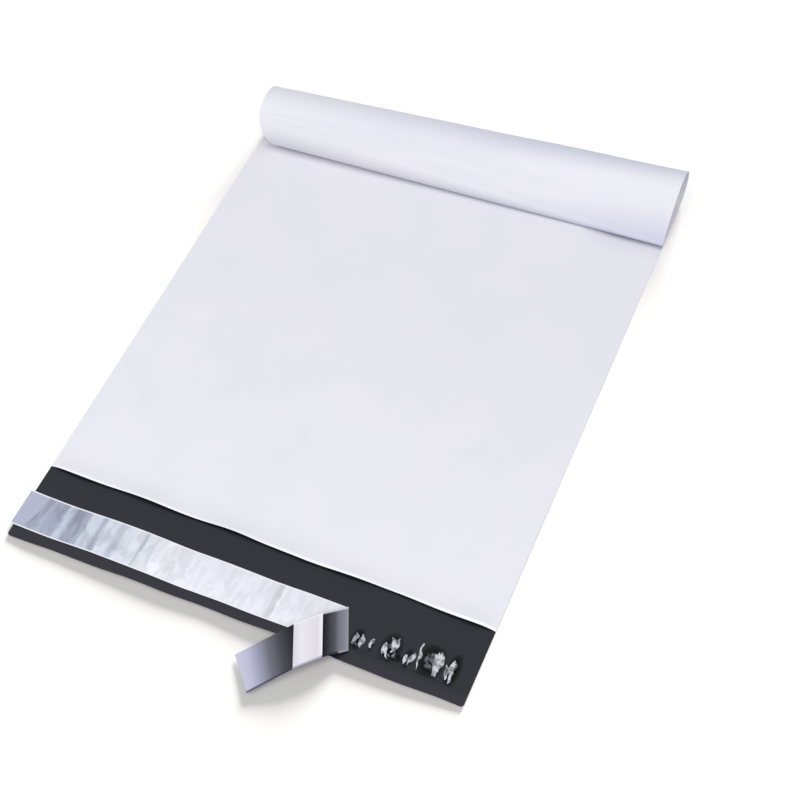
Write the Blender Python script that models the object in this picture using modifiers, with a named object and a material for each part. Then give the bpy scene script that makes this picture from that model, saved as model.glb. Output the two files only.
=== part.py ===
"""A polythene mailing bag, open and empty, lying on its back.

The bag is one length of film: a back panel that runs on past the mouth as the closing flap, and a
front panel that is folded up over it at the bottom and welded to it down both sides. The flap holds
a band of glue under a release liner, which is peeled off the right-hand part of the glue. The bag's
bottom end is rolled over towards the mouth, as a tube that is rounder at its left end.

Metres, +Z up, +X to the right as the mouth is read, +Y from the flap towards the rolled end. The
origin is on the underside of the back panel, halfway across the bag.
"""

import math

import bmesh
import bpy
from mathutils import Vector

# The bag as it would lie unrolled
BAG_WIDTH = 0.250
PANEL_LENGTH = 0.390  # from the mouth to the folded bottom
FLAP_LENGTH = 0.045  # from the flap's free edge to the mouth
FLAP_EDGE_TO_ORIGIN = 0.160

# The film and its pocket
FILM_WALL = 0.0001
POCKET_GAP = 0.0003  # between the panels, all along the pocket
SIDE_WELD = 0.005
BOTTOM_FOLD = 0.0002

# The rolled end: one wide turn up and over, a straight run down, a second turn, and a tucked tail
BEND_RADIUS_LEFT = 0.016
BEND_RADIUS_RIGHT = 0.014
RUN_SLOPE = math.radians(45)
TUCK_STEP_LEFT = 0.002  # how much tighter the second turn is than the first, at the left
TUCK_RADIUS_RIGHT = 0.0012
TAIL_LOOSER = 0.0005  # how much wider the tail is bent than the second turn
TAIL_TURN = math.radians(100)

# The glue and its liner
REST_GAP = 0.0003  # between a piece and the one that it lies on
GLUE_WIDTH = 0.018
GLUE_WALL = 0.0001
GLUE_END_MARGIN = 0.003  # bare flap at each end of the glue
LINER_LAP = 0.0021  # how far the liner reaches past the glue on each side
LINER_WALL = 0.0001
LINER_EDGE_MARGIN = 0.0061  # bare flap in front of the liner
LINER_OVERHANG = 0.0015  # past the bag's left edge

# The peeled part of the liner
PEEL_FROM_RIGHT = 0.0633  # from the bag's right edge to the peel line, along the liner's front edge
PEEL_SKEW = math.radians(23.4)  # of the peel line, from square across the liner
PEEL_RADIUS = 0.001
PEEL_TURN = math.radians(158)
RISE_LENGTH = 0.0129
CREASE_RADIUS = 0.002
CREST_TURN = math.radians(23)
CREST_LENGTH = 0.0135
DROP_TURN = math.radians(12.5)
DROP_LENGTH = 0.0215
END_SKEW = math.radians(16)  # of the cut end, from the direction of the creases

# How finely the bent film is divided
BEND_STEPS = 30
TUCK_STEPS = 18
TAIL_STEPS = 12
WIDTH_STEPS = 6
CREASE_STEPS = 4
PEEL_STEPS = 10

# The pieces of the film's path and of the liner's, in order
FLAP, FLAT, BEND, RUN, TUCK, TAIL = range(6)
PEEL, RISE, CREST, LEVEL, DIP, DROP = range(6)

FLAP_EDGE_Y = -FLAP_EDGE_TO_ORIGIN
POCKET_THICKNESS = 2 * FILM_WALL + POCKET_GAP
LINER_WIDTH = GLUE_WIDTH + 2 * LINER_LAP
GLUE_BASE = FILM_WALL + REST_GAP
LINER_BASE = GLUE_BASE + GLUE_WALL + REST_GAP


def clear_scene():
    for obj in list(bpy.data.objects):
        bpy.data.objects.remove(obj, do_unlink=True)


def plain_material(name, colour, roughness):
    material = bpy.data.materials.new(name)
    material.use_nodes = True
    shader = material.node_tree.nodes["Principled BSDF"]
    shader.inputs["Base Color"].default_value = (*colour, 1.0)
    shader.inputs["Roughness"].default_value = roughness
    shader.inputs["Metallic"].default_value = 0.0
    return material


def add_part(name, mesh, material, collection, parent):
    obj = bpy.data.objects.new(name, mesh)
    obj.data.materials.append(material)
    obj.parent = parent
    collection.objects.link(obj)
    return obj


def walk(path, piece, share):
    """Place and heading, some share of the way along one piece of a path of straight runs and arcs.

    A piece is (length, turn). The path starts at (0, 0), heading along the first axis.
    """
    across = 0.0
    up = 0.0
    heading = 0.0
    for index, (length, turn) in enumerate(path[: piece + 1]):
        part = share if index == piece else 1.0
        if turn:
            radius = length / turn
            across += radius * (math.sin(heading + turn * part) - math.sin(heading))
            up -= radius * (math.cos(heading + turn * part) - math.cos(heading))
        else:
            across += length * part * math.cos(heading)
            up += length * part * math.sin(heading)
        heading += turn * part
    return across, up, heading


def film_path(x):
    """The film's outer side from the flap's edge to the bag's bottom, in the section at x.

    The wide turn starts from the flat panel, and the second one comes down onto the front panel.
    """
    share = x / BAG_WIDTH + 0.5
    bend = BEND_RADIUS_LEFT + (BEND_RADIUS_RIGHT - BEND_RADIUS_LEFT) * share
    tuck_left = BEND_RADIUS_LEFT - TUCK_STEP_LEFT
    tuck = tuck_left + (TUCK_RADIUS_RIGHT - tuck_left) * share
    tail = tuck + TAIL_LOOSER
    drop = bend - tuck - POCKET_THICKNESS - REST_GAP
    run = (drop + (bend - tuck) * math.cos(RUN_SLOPE)) / math.sin(RUN_SLOPE)
    rolled = [
        (bend * (math.pi + RUN_SLOPE), math.pi + RUN_SLOPE),
        (run, 0.0),
        (tuck * (math.pi - RUN_SLOPE), math.pi - RUN_SLOPE),
        (tail * TAIL_TURN, TAIL_TURN),
    ]
    flat = PANEL_LENGTH - sum(length for length, turn in rolled)
    return [(FLAP_LENGTH, 0.0), (flat, 0.0), *rolled]


def film_rows(x):
    """(piece, share) of each row of the film's mesh, from the flap's edge to the bag's bottom."""
    tail_length = film_path(x)[TAIL][0]
    pocket_share = 1 - BOTTOM_FOLD / tail_length
    rows = [(FLAP, 0.0), (FLAT, 0.0), (BEND, 0.0)]
    rows += [(BEND, step / BEND_STEPS) for step in range(1, BEND_STEPS + 1)]
    rows += [(TUCK, step / TUCK_STEPS) for step in range(TUCK_STEPS + 1)]
    rows += [(TAIL, pocket_share * step / TAIL_STEPS) for step in range(1, TAIL_STEPS + 1)]
    rows += [(TAIL, 1.0)]
    return rows


def film_columns():
    """The places across the bag: its two edges, the welds' inner edges and even steps between."""
    inner = BAG_WIDTH / 2 - SIDE_WELD
    steps = [-inner + 2 * inner * step / WIDTH_STEPS for step in range(WIDTH_STEPS + 1)]
    return [-BAG_WIDTH / 2, *steps, BAG_WIDTH / 2]


def film_mesh():
    """The film's solid, first cut and pushed from a box of whole steps, then bent to its shape.

    In the box a step along X is a column, one along Y is a row, and the levels up Z are the back
    panel's two faces and the front panel's two faces.
    """
    columns = film_columns()
    last_column = len(columns) - 1
    last_row = len(film_rows(0.0)) - 1
    mouth_row = 1
    pocket_end = last_row - 1
    in_pocket = (0.0, FILM_WALL, FILM_WALL + POCKET_GAP, POCKET_THICKNESS)
    at_weld = (0.0, FILM_WALL, 1.5 * FILM_WALL, 2 * FILM_WALL)

    work = bmesh.new()
    bmesh.ops.create_cube(work, size=1.0)
    bmesh.ops.scale(work, vec=(last_column, last_row - mouth_row, 3), verts=work.verts)
    middle = Vector((last_column / 2, (last_row + mouth_row) / 2, 1.5))
    bmesh.ops.translate(work, vec=middle, verts=work.verts)

    def cut(place, direction):
        everything = work.verts[:] + work.edges[:] + work.faces[:]
        bmesh.ops.bisect_plane(work, geom=everything, plane_co=place, plane_no=direction)

    def push(low, high, distance):
        """Moves the mouth's faces between two corners along the bag, drawing walls after them."""
        chosen = []
        for face in work.faces:
            centre = face.calc_center_median()
            at_mouth = abs(centre.y - mouth_row) < 0.01
            inside = low[0] < centre.x < high[0] and low[1] < centre.z < high[1]
            if at_mouth and inside:
                chosen.append(face)
        made = bmesh.ops.extrude_face_region(work, geom=chosen)["geom"]
        moved = [item for item in made if isinstance(item, bmesh.types.BMVert)]
        bmesh.ops.translate(work, vec=(0.0, distance, 0.0), verts=moved)
        bmesh.ops.delete(work, geom=chosen, context="FACES")

    cut((0, 0, 1), (0, 0, 1))
    push((0, 0), (last_column, 1), -mouth_row)
    cut((0, 0, 2), (0, 0, 1))
    cut((1, 0, 0), (1, 0, 0))
    cut((last_column - 1, 0, 0), (1, 0, 0))
    push((1, 1), (last_column - 1, 2), pocket_end - mouth_row)
    for column in range(2, last_column - 1):
        cut((column, 0, 0), (1, 0, 0))
    for row in range(2, last_row):
        cut((0, row, 0), (0, 1, 0))
    bmesh.ops.recalc_face_normals(work, faces=work.faces)

    for vert in work.verts:
        column = round(vert.co.x)
        x = columns[column]
        piece, share = film_rows(x)[round(vert.co.y)]
        heights = at_weld if column in (0, last_column) else in_pocket
        height = heights[round(vert.co.z)]
        along, up, heading = walk(film_path(x), piece, share)
        y = FLAP_EDGE_Y + along - height * math.sin(heading)
        z = up + height * math.cos(heading)
        vert.co = (x, y, z)

    mesh = bpy.data.meshes.new("mailer_film")
    work.to_mesh(mesh)
    work.free()
    return mesh


def liner_mesh():
    """The liner's underside as an open strip: flat on the glue, then peeled back over itself.

    Its creases are parallel, so each row across it is straight, and its profile square to the
    creases is one path of runs and arcs.
    """
    path = [
        (PEEL_RADIUS * PEEL_TURN, PEEL_TURN),
        (RISE_LENGTH, 0.0),
        (CREASE_RADIUS * CREST_TURN, CREST_TURN),
        (CREST_LENGTH, 0.0),
        (CREASE_RADIUS * DROP_TURN, DROP_TURN),
    ]
    rows = [(PEEL, step / PEEL_STEPS) for step in range(PEEL_STEPS + 1)]
    rows += [(CREST, step / CREASE_STEPS) for step in range(CREASE_STEPS + 1)]
    rows += [(DIP, step / CREASE_STEPS) for step in range(CREASE_STEPS + 1)]
    last_row = len(rows) + 1
    crease = Vector((-math.sin(PEEL_SKEW), math.cos(PEEL_SKEW)))
    onward = Vector((math.cos(PEEL_SKEW), math.sin(PEEL_SKEW)))
    front_y = FLAP_EDGE_Y + LINER_EDGE_MARGIN
    start = Vector((BAG_WIDTH / 2 - PEEL_FROM_RIGHT, front_y))

    work = bmesh.new()
    bmesh.ops.create_grid(work, x_segments=last_row, y_segments=1, size=0.5)
    for vert in work.verts:
        row = round((vert.co.x + 0.5) * last_row)
        share = vert.co.y + 0.5
        along_crease = share * LINER_WIDTH / math.cos(PEEL_SKEW)
        if row == 0:
            left_end = -BAG_WIDTH / 2 - LINER_OVERHANG
            vert.co = (left_end, front_y + share * LINER_WIDTH, LINER_BASE)
            continue
        if row < last_row:
            piece, part = rows[row - 1]
            bent = path
        else:
            piece = DROP
            part = 1.0
            bent = [*path, (DROP_LENGTH + along_crease * math.tan(END_SKEW), 0.0)]
        ahead, up, heading = walk(bent, piece, part)
        gone = sum(length for length, turn in bent[:piece]) + bent[piece][0] * part
        place = start + onward * ahead + crease * (along_crease - gone * math.tan(PEEL_SKEW))
        vert.co = (place.x, place.y, LINER_BASE + up)
    mesh = bpy.data.meshes.new("release_liner")
    work.to_mesh(mesh)
    work.free()
    return mesh


def glue_mesh():
    work = bmesh.new()
    bmesh.ops.create_cube(work, size=1.0)
    length = BAG_WIDTH - 2 * GLUE_END_MARGIN
    bmesh.ops.scale(work, vec=(length, GLUE_WIDTH, GLUE_WALL), verts=work.verts)
    mesh = bpy.data.meshes.new("adhesive_strip")
    work.to_mesh(mesh)
    work.free()
    return mesh


clear_scene()
bag = bpy.data.collections.new("poly_mailer_bag")
bpy.context.scene.collection.children.link(bag)
frame = bpy.data.objects.new("bag_frame", None)
bag.objects.link(frame)

white_film = plain_material("white_film", (0.80, 0.80, 0.85), 0.35)
clear_glue = plain_material("clear_glue", (0.10, 0.10, 0.12), 0.15)
grey_liner = plain_material("grey_liner", (0.62, 0.64, 0.70), 0.25)

film = add_part("mailer_film", film_mesh(), white_film, bag, frame)

glue = add_part("adhesive_strip", glue_mesh(), clear_glue, bag, frame)
glue_front = FLAP_EDGE_Y + LINER_EDGE_MARGIN + LINER_LAP
glue.location = (0.0, glue_front + GLUE_WIDTH / 2, GLUE_BASE + GLUE_WALL / 2)

liner = add_part("release_liner", liner_mesh(), grey_liner, bag, frame)
liner_wall = liner.modifiers.new("liner_wall", "SOLIDIFY")
liner_wall.thickness = LINER_WALL
liner_wall.offset = 1.0
liner_wall.use_even_offset = True

for part in (film, liner):
    part.data.shade_smooth()
    part.data.set_sharp_from_angle(angle=math.radians(30))
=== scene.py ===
import functools
import math
import random

import bmesh
import bpy
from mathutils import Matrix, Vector, noise


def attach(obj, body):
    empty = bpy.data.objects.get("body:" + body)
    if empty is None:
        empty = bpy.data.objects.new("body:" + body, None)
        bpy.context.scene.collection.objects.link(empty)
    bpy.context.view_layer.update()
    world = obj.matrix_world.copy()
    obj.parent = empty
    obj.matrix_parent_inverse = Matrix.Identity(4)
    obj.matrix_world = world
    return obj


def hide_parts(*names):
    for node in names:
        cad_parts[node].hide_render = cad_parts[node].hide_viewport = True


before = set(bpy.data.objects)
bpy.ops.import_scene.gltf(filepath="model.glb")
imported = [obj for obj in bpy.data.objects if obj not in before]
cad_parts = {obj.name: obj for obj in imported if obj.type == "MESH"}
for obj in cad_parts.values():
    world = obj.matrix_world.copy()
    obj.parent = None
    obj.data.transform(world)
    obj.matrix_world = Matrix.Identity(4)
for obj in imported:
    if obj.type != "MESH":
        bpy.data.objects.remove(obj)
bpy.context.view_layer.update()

# Mailer film
# One length of co-extruded polythene, white outside and black inside. It is folded at the bottom and
# welded down both sides, and the back panel runs on past the mouth as the closing flap. The closed
# end is rolled up and over towards the mouth, wide and open at the right and tighter at the left.
BAG_WIDTH = 0.250
PANEL_LENGTH = 0.390
FLAP_LENGTH = 0.045
BAG_LENGTH = FLAP_LENGTH + PANEL_LENGTH
FLAP_EDGE_Y = -0.160
MOUTH_Y = FLAP_EDGE_Y + FLAP_LENGTH
FILM_WALL = 0.0001
POCKET_GAP = 0.0003
POCKET_THICKNESS = 2 * FILM_WALL + POCKET_GAP
SIDE_WELD = 0.005
BOTTOM_FOLD = 0.0002
BEND_RADIUS_LEFT = 0.016
BEND_RADIUS_RIGHT = 0.014
BEND_TURN = math.radians(225)
TUCK_RADIUS_LEFT = 0.014
TUCK_RADIUS_RIGHT = 0.0012
TUCK_TURN = math.radians(135)
TUCK_CLEARANCE = POCKET_THICKNESS + 0.0003
TAIL_LOOSER = 0.0005
TAIL_TURN = math.radians(100)

# How the film strays from true: the cut edges, the springy flap and mouth, the dented roll
CORNER_RADIUS = 0.0012
FLAP_RISE = 0.0030
FLAP_RISE_START = 0.010  # behind the mouth
FLAP_WAVE_SIZE = 0.060
FLAP_UNEVEN = 0.7
CORNER_HELD = 0.7  # the share of the rise that the flap's corners lose
EDGE_WANDER = 0.0012
FLAP_EDGE_WAVE = 0.035
MOUTH_EDGE_WAVE = 0.040
MOUTH_RISE = 0.0020
MOUTH_RISE_USUAL = 0.85  # of the full rise, and it strays from this by up to the next value
MOUTH_UNEVEN = 0.8
MOUTH_WAVE_SIZE = 0.026
MOUTH_LIP = 0.0020  # the last of the front panel turns down again over this length
LIP_DROP = 0.3
MOUTH_RISE_DEPTH = 0.014
WAVE_HEIGHT = 0.0006
WAVE_SIZE = 0.060
WAVES_END_Y = 0.110
WAVES_FADE = 0.040
ROLL_DENT = 0.0005
DENT_WIDTH = 0.050
DENT_SHARE = 0.35  # of the bend's length
RUN_BULGE = 0.0024  # at the right end the run down to the face is not straight but curves under
BULGE_START = math.radians(150)
END_DRIFT = 0.0018  # the roll's left end comes this far inside the bag's edge
END_DRIFT_LENGTH = 0.045  # over this much of the rolled film
CORNER_DRIFT = 0.0068  # and its lower corner this much further
CORNER_DRIFT_START = 0.062
CORNER_DRIFT_LENGTH = 0.018
CORNER_DRIFT_MOST = 1.2
CORNER_DRIFT_CURVE = 1.3

FLAP, FLAT, BEND, RUN, TUCK, TAIL = range(6)
FILM_STEPS = {FLAP: 18, FLAT: 64, BEND: 72, RUN: 10, TUCK: 36, TAIL: 14}
LIP_STEPS = 12
WELD_STEPS = 5
PANEL_STEPS = 66
SHARP_FROM = math.radians(35)


def rolled_lengths(x):
    """Lengths of the film's flap, flat panel, bend, run, tuck and tail, in the section at x."""
    share = x / BAG_WIDTH + 0.5
    bend = BEND_RADIUS_LEFT + (BEND_RADIUS_RIGHT - BEND_RADIUS_LEFT) * share
    tuck = TUCK_RADIUS_LEFT + (TUCK_RADIUS_RIGHT - TUCK_RADIUS_LEFT) * share
    drop = bend - tuck - TUCK_CLEARANCE
    run = (drop - (bend - tuck) * math.cos(BEND_TURN)) / -math.sin(BEND_TURN)
    rolled = [bend * BEND_TURN, run, tuck * TUCK_TURN, (tuck + TAIL_LOOSER) * TAIL_TURN]
    return [FLAP_LENGTH, PANEL_LENGTH - sum(rolled), *rolled]


def film_rows(lengths):
    """(piece, share) of each row of the mesh, from the flap's edge to the bag's bottom."""
    rows = [(FLAP, 0.0)]
    for piece, steps in FILM_STEPS.items():
        if piece == FLAT:
            lip = MOUTH_RISE_DEPTH / lengths[FLAT]
            rows += [(FLAT, lip * (step / LIP_STEPS) ** 1.5) for step in range(1, LIP_STEPS + 1)]
            rest = steps - LIP_STEPS
            rows += [(FLAT, lip + (1 - lip) * step / rest) for step in range(1, rest + 1)]
            continue
        full = 1 - BOTTOM_FOLD / lengths[TAIL] if piece == TAIL else 1.0
        rows += [(piece, full * step / steps) for step in range(1, steps + 1)]
    return [*rows, (TAIL, 1.0)]


def ripple(across, along, seed):
    """Smooth unevenness from -1 to 1 that changes over one unit."""
    return noise.noise(Vector((across, along, seed)))


def flap_height(x, y):
    """How far the film has lifted off the table at a place on the flap or the flat panel."""
    past_start = (MOUTH_Y + FLAP_RISE_START - y) / (FLAP_LENGTH + FLAP_RISE_START)
    sprung = FLAP_RISE * min(max(past_start, 0.0), 1.0) ** 2
    sprung *= 1 + FLAP_UNEVEN * ripple(x / FLAP_WAVE_SIZE, 0.0, 3.1)
    sprung *= 1 - CORNER_HELD * (abs(x) / (BAG_WIDTH / 2)) ** 4
    before_roll = min(max((WAVES_END_Y - y) / WAVES_FADE, 0.0), 1.0)
    waves = 0.5 + 0.5 * ripple(x / WAVE_SIZE, y / WAVE_SIZE, 7.7)
    return sprung + WAVE_HEIGHT * waves * before_roll


def film_column(position):
    """(x, share of the way in over the weld) of a column of the mesh."""
    last = 2 * WELD_STEPS + PANEL_STEPS
    inner = BAG_WIDTH / 2 - SIDE_WELD
    from_edge = min(position, last - position)
    if from_edge < WELD_STEPS:
        share = from_edge / WELD_STEPS
        x = inner + SIDE_WELD * (1 - share)
        return (-x if position < WELD_STEPS else x), share
    return -inner + 2 * inner * (position - WELD_STEPS) / PANEL_STEPS, 1.0


def place_film(x, weld_share, level, piece, share):
    """A point of the film while it is still flat: across, along, and its height in the wall."""
    in_pocket = (0.0, FILM_WALL, FILM_WALL + POCKET_GAP, POCKET_THICKNESS)[level]
    at_weld = (0.0, FILM_WALL, 1.5 * FILM_WALL, 2 * FILM_WALL)[level]
    height = at_weld + (in_pocket - at_weld) * weld_share
    lengths = rolled_lengths(x)
    if piece >= BEND:
        rolled = sum(lengths[BEND:piece]) + lengths[piece] * share
        settled = min(rolled / END_DRIFT_LENGTH, 1.0)
        corner = max((rolled - CORNER_DRIFT_START) / CORNER_DRIFT_LENGTH, 0.0)
        corner = min(corner, CORNER_DRIFT_MOST) ** CORNER_DRIFT_CURVE
        drift = END_DRIFT * settled + CORNER_DRIFT * corner
        x += drift * max(-x / (BAG_WIDTH / 2), 0.0) ** 3
        lengths = rolled_lengths(x)
    along = sum(lengths[:piece]) + lengths[piece] * share
    if piece == FLAP and level < 2:
        beyond = min(max(abs(x) - BAG_WIDTH / 2 + CORNER_RADIUS, 0.0), CORNER_RADIUS)
        corner = CORNER_RADIUS - math.sqrt(CORNER_RADIUS**2 - beyond**2)
        wander = EDGE_WANDER * ripple(x / FLAP_EDGE_WAVE, 0.0, 1.3)
        along += (corner + wander) * (1 - share)
    past_mouth = along - FLAP_LENGTH
    if level > 1 and past_mouth < MOUTH_RISE_DEPTH:
        fade = (1 - max(past_mouth, 0.0) / MOUTH_RISE_DEPTH) ** 2
        lip = max(1 - max(past_mouth, 0.0) / MOUTH_LIP, 0.0) ** 2
        free = 1 - (abs(x) / (BAG_WIDTH / 2)) ** 24  # of the side welds
        uneven = MOUTH_UNEVEN * ripple(x / MOUTH_WAVE_SIZE, 0.0, 5.2)
        rise = MOUTH_RISE * max(MOUTH_RISE_USUAL + uneven, 0.0)
        height += rise * (fade - LIP_DROP * lip) * free
        along += EDGE_WANDER * fade * ripple(x / MOUTH_EDGE_WAVE, 0.0, 9.4)
    if piece in (BEND, RUN):
        bulge_start = lengths[BEND] * BULGE_START / BEND_TURN
        past_start = along - sum(lengths[:BEND]) - bulge_start
        under = max(past_start / (lengths[BEND] + lengths[RUN] - bulge_start), 0.0)
        loose = lengths[RUN] / rolled_lengths(BAG_WIDTH / 2)[RUN]
        hump = 27 / 4 * under**2 * (1 - under)  # its top is 1, two thirds of the way
        height -= RUN_BULGE * loose**2 * hump
        rolled = share if piece == BEND else 1.0 - share
        dent = ripple(x / DENT_WIDTH, rolled / DENT_SHARE + (piece == RUN), 2.6)
        height += ROLL_DENT * dent * math.sin(math.pi * min(rolled, 0.5))
    if piece in (FLAP, FLAT):
        height += flap_height(x, FLAP_EDGE_Y + along)
    return x, along, height


def film_mesh():
    """The flat film's wall all round its pocket, cut from a box of whole steps.

    In the box a step along X is a column, one along Y is a row, and the levels up Z are the back
    panel's two faces and the front panel's two faces. The black side is marked on the faces.
    """
    last_column = 2 * WELD_STEPS + PANEL_STEPS
    mouth_row = FILM_STEPS[FLAP]
    pocket_end = sum(FILM_STEPS.values())
    last_row = pocket_end + 1
    work = bmesh.new()
    bmesh.ops.create_cube(work, size=1.0)
    bmesh.ops.scale(work, vec=(last_column, last_row - mouth_row, 3), verts=work.verts)
    middle = Vector((last_column / 2, (last_row + mouth_row) / 2, 1.5))
    bmesh.ops.translate(work, vec=middle, verts=work.verts)

    def cut(axis, place):
        normal = Vector([float(index == axis) for index in range(3)])
        everything = work.verts[:] + work.edges[:] + work.faces[:]
        bmesh.ops.bisect_plane(work, geom=everything, plane_co=normal * place, plane_no=normal)

    def push(columns, levels, distance):
        """Draws the mouth's faces between these columns and levels along the bag."""
        chosen = []
        for face in work.faces:
            x, y, z = face.calc_center_median()
            inside = columns[0] < x < columns[1] and levels[0] < z < levels[1]
            if inside and abs(y - mouth_row) < 0.01:
                chosen.append(face)
        made = bmesh.ops.extrude_face_region(work, geom=chosen)["geom"]
        moved = [item for item in made if isinstance(item, bmesh.types.BMVert)]
        bmesh.ops.translate(work, vec=(0.0, distance, 0.0), verts=moved)
        bmesh.ops.delete(work, geom=chosen, context="FACES")

    def divide(axis, low, high):
        """Cuts each edge that runs along an axis from low to high into whole steps."""
        chosen = []
        for edge in work.edges:
            ends = sorted(vert.co[axis] for vert in edge.verts)
            if abs(ends[0] - low) < 0.01 and abs(ends[1] - high) < 0.01:
                chosen.append(edge)
        bmesh.ops.subdivide_edges(work, edges=chosen, cuts=high - low - 1, use_grid_fill=True)

    cut(2, 1)
    push((0, last_column), (0, 1), -mouth_row)
    cut(2, 2)
    cut(0, WELD_STEPS)
    cut(0, last_column - WELD_STEPS)
    push((WELD_STEPS, last_column - WELD_STEPS), (1, 2), pocket_end - mouth_row)
    cut(1, pocket_end)
    divide(0, 0, WELD_STEPS)
    divide(0, WELD_STEPS, last_column - WELD_STEPS)
    divide(0, last_column - WELD_STEPS, last_column)
    divide(1, 0, mouth_row)
    divide(1, mouth_row, pocket_end)
    bmesh.ops.recalc_face_normals(work, faces=work.faces)

    black_side = work.faces.layers.bool.new("black_side")
    for face in work.faces:
        centre = face.calc_center_median()
        on_flap = centre.y < mouth_row - 0.01 and centre.z > 0.1
        face[black_side] = on_flap or 0.9 < centre.z < 2.1
        face.smooth = True

    columns = [film_column(position) for position in range(last_column + 1)]
    rows = [film_rows(rolled_lengths(x)) for x, _ in columns]
    for vert in work.verts:
        column, row, level = (round(value) for value in vert.co)
        x, weld_share = columns[column]
        vert.co = place_film(x, weld_share, level, *rows[column][row])
    layout = work.loops.layers.uv.new("film")
    for face in work.faces:
        for loop in face.loops:
            place = loop.vert.co
            loop[layout].uv = (place.x / BAG_WIDTH + 0.5, place.y / BAG_LENGTH)
    return work


def linear(code):
    """An sRGB colour such as "#E6E6EE" as linear red, green and blue, with full alpha."""
    channels = [int(code[start : start + 2], 16) / 255 for start in (1, 3, 5)]
    return [*(c / 12.92 if c <= 0.04045 else ((c + 0.055) / 1.055) ** 2.4 for c in channels), 1.0]


def add_node(tree, kind, sockets=None, stops=None, **settings):
    """A node with its settings, its inputs set or linked, and a ramp's stops as {place: colour}.

    An input that is given a whole node is linked to the first output that the node shows.
    """
    node = tree.nodes.new(kind)
    for name, value in settings.items():
        setattr(node, name, value)
    for name, value in (sockets or {}).items():
        if isinstance(value, bpy.types.Node):
            value = next(output for output in value.outputs if output.enabled)
        if isinstance(value, bpy.types.NodeSocket):
            tree.links.new(value, node.inputs[name])
        else:
            node.inputs[name].default_value = value
    if stops:
        elements = node.color_ramp.elements
        while len(elements) > 1:
            elements.remove(elements[-1])
        for index, (place, colour) in enumerate(stops.items()):
            element = elements.new(place) if index else elements[0]
            element.position = place
            element.color = linear(colour)
    return node


def new_material(name):
    """A new material, and add_node for its empty node tree."""
    material = bpy.data.materials.new(name)
    material.use_nodes = True
    material.node_tree.nodes.clear()
    return material, functools.partial(add_node, material.node_tree)


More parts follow.
